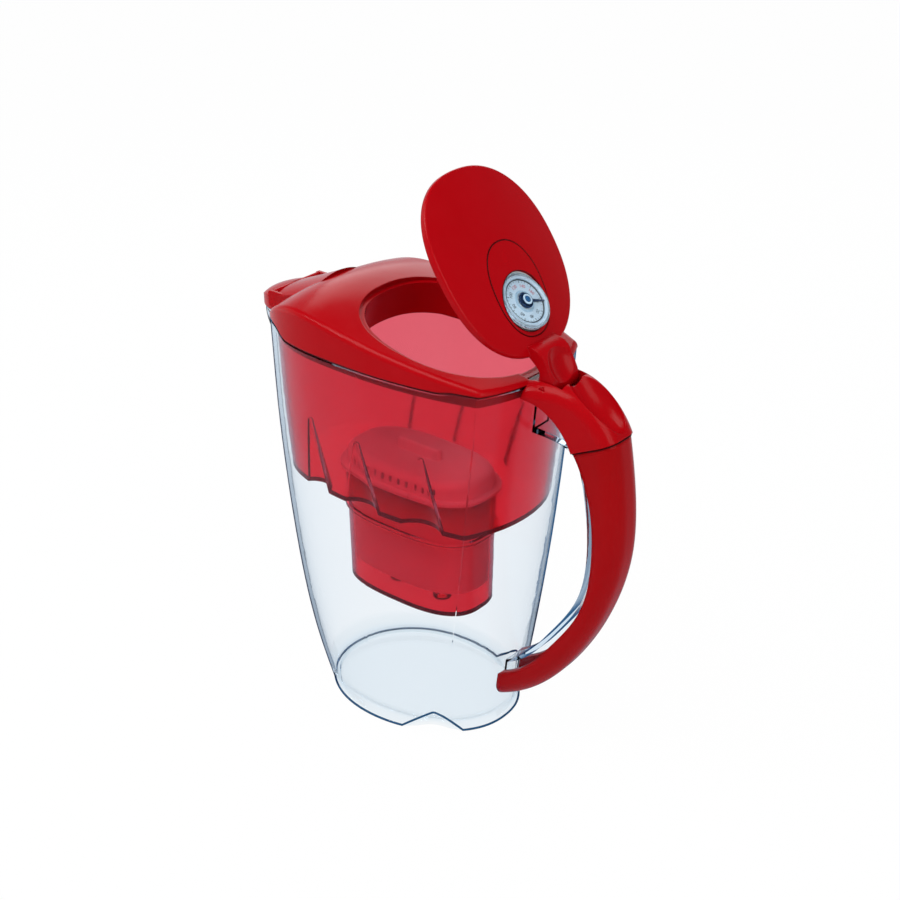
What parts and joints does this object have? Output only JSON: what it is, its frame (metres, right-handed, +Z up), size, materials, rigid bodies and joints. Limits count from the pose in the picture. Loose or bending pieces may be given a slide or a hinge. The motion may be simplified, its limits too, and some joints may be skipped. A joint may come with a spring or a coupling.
{
  "type": "water filter pitcher",
  "caption": "Clear oval jug with a tinted hopper and filter cartridge inside, a red lid with a flip-up fill flap and counter dial, a spout flap and a loop handle.",
  "frame": {"origin": "on the table plane under the middle of the jug's base", "axes": "+Z up, +X towards the handle, -X towards the spout, +Y across"},
  "size_m": [0.2659, 0.1148, 0.3399],
  "materials": {
    "clear": "clear polished",
    "funnel_red": "translucent tinted",
    "lid_red": "glossy",
    "handle_red": "satin gloss",
    "cartridge_white": "matte",
    "seal": "matte",
    "media": "granular",
    "screen": "mesh",
    "dial_face": "printed",
    "dial_lens": "clear",
    "pointer_dark": "glossy",
    "works": "matte"
  },
  "bodies": {
    "jug": {"jug_body": "clear", "handle_cover": "handle_red"},
    "hopper": {"funnel": "funnel_red"},
    "cartridge": {"cartridge_body": "cartridge_white", "cartridge_cap": "cartridge_white", "cartridge_seal": "seal", "filter_media": "media", "upper_screen": "screen", "lower_screen": "screen"},
    "lid": {"lid_frame": "lid_red"},
    "spout_cover": {"spout_flap": "lid_red"},
    "flip": {"flip_lid": "lid_red", "indicator_plate": "lid_red", "indicator_case": "works", "case_cover": "works", "indicator_dial": "dial_face", "indicator_lens": "dial_lens"},
    "counter": {"pointer": "pointer_dark", "ratchet_wheel": "works"},
    "pawl": {"drive_pawl": "works"}
  },
  "joints": [
    {"name": "funnel_lift", "type": "slide", "parent": "jug", "child": "hopper", "axis": [0, 0, 1], "range_m": [0, 0.18]},
    {"name": "cartridge_lift", "type": "slide", "parent": "hopper", "child": "cartridge", "axis": [0, 0, 1], "range_m": [0, 0.16]},
    {"name": "lid_lift", "type": "slide", "parent": "cartridge", "child": "lid", "axis": [0, 0, 1], "range_m": [0, 0.06]},
    {"name": "flip_lid_hinge", "type": "hinge", "parent": "lid", "child": "flip", "pos_m": [0.1036, 0, 0.2363], "axis": [0, 1, 0], "range_deg": [-43.8, 34.5]},
    {"name": "spout_flap_hinge", "type": "hinge", "parent": "lid", "child": "spout_cover", "pos_m": [-0.0917, 0, 0.2442], "axis": [0, 1, 0], "range_deg": [0, 60]},
    {"name": "counter_turn", "type": "hinge", "parent": "flip", "child": "counter", "pos_m": [0.08011, 0, 0.27719], "axis": [0.7373, 0, 0.6756], "continuous": true},
    {"name": "pawl_swing", "type": "hinge", "parent": "flip", "child": "pawl", "pos_m": [0.07092, 0, 0.28721], "axis": [0.7373, 0, 0.6756], "range_deg": [-8, 0]}
  ]
}
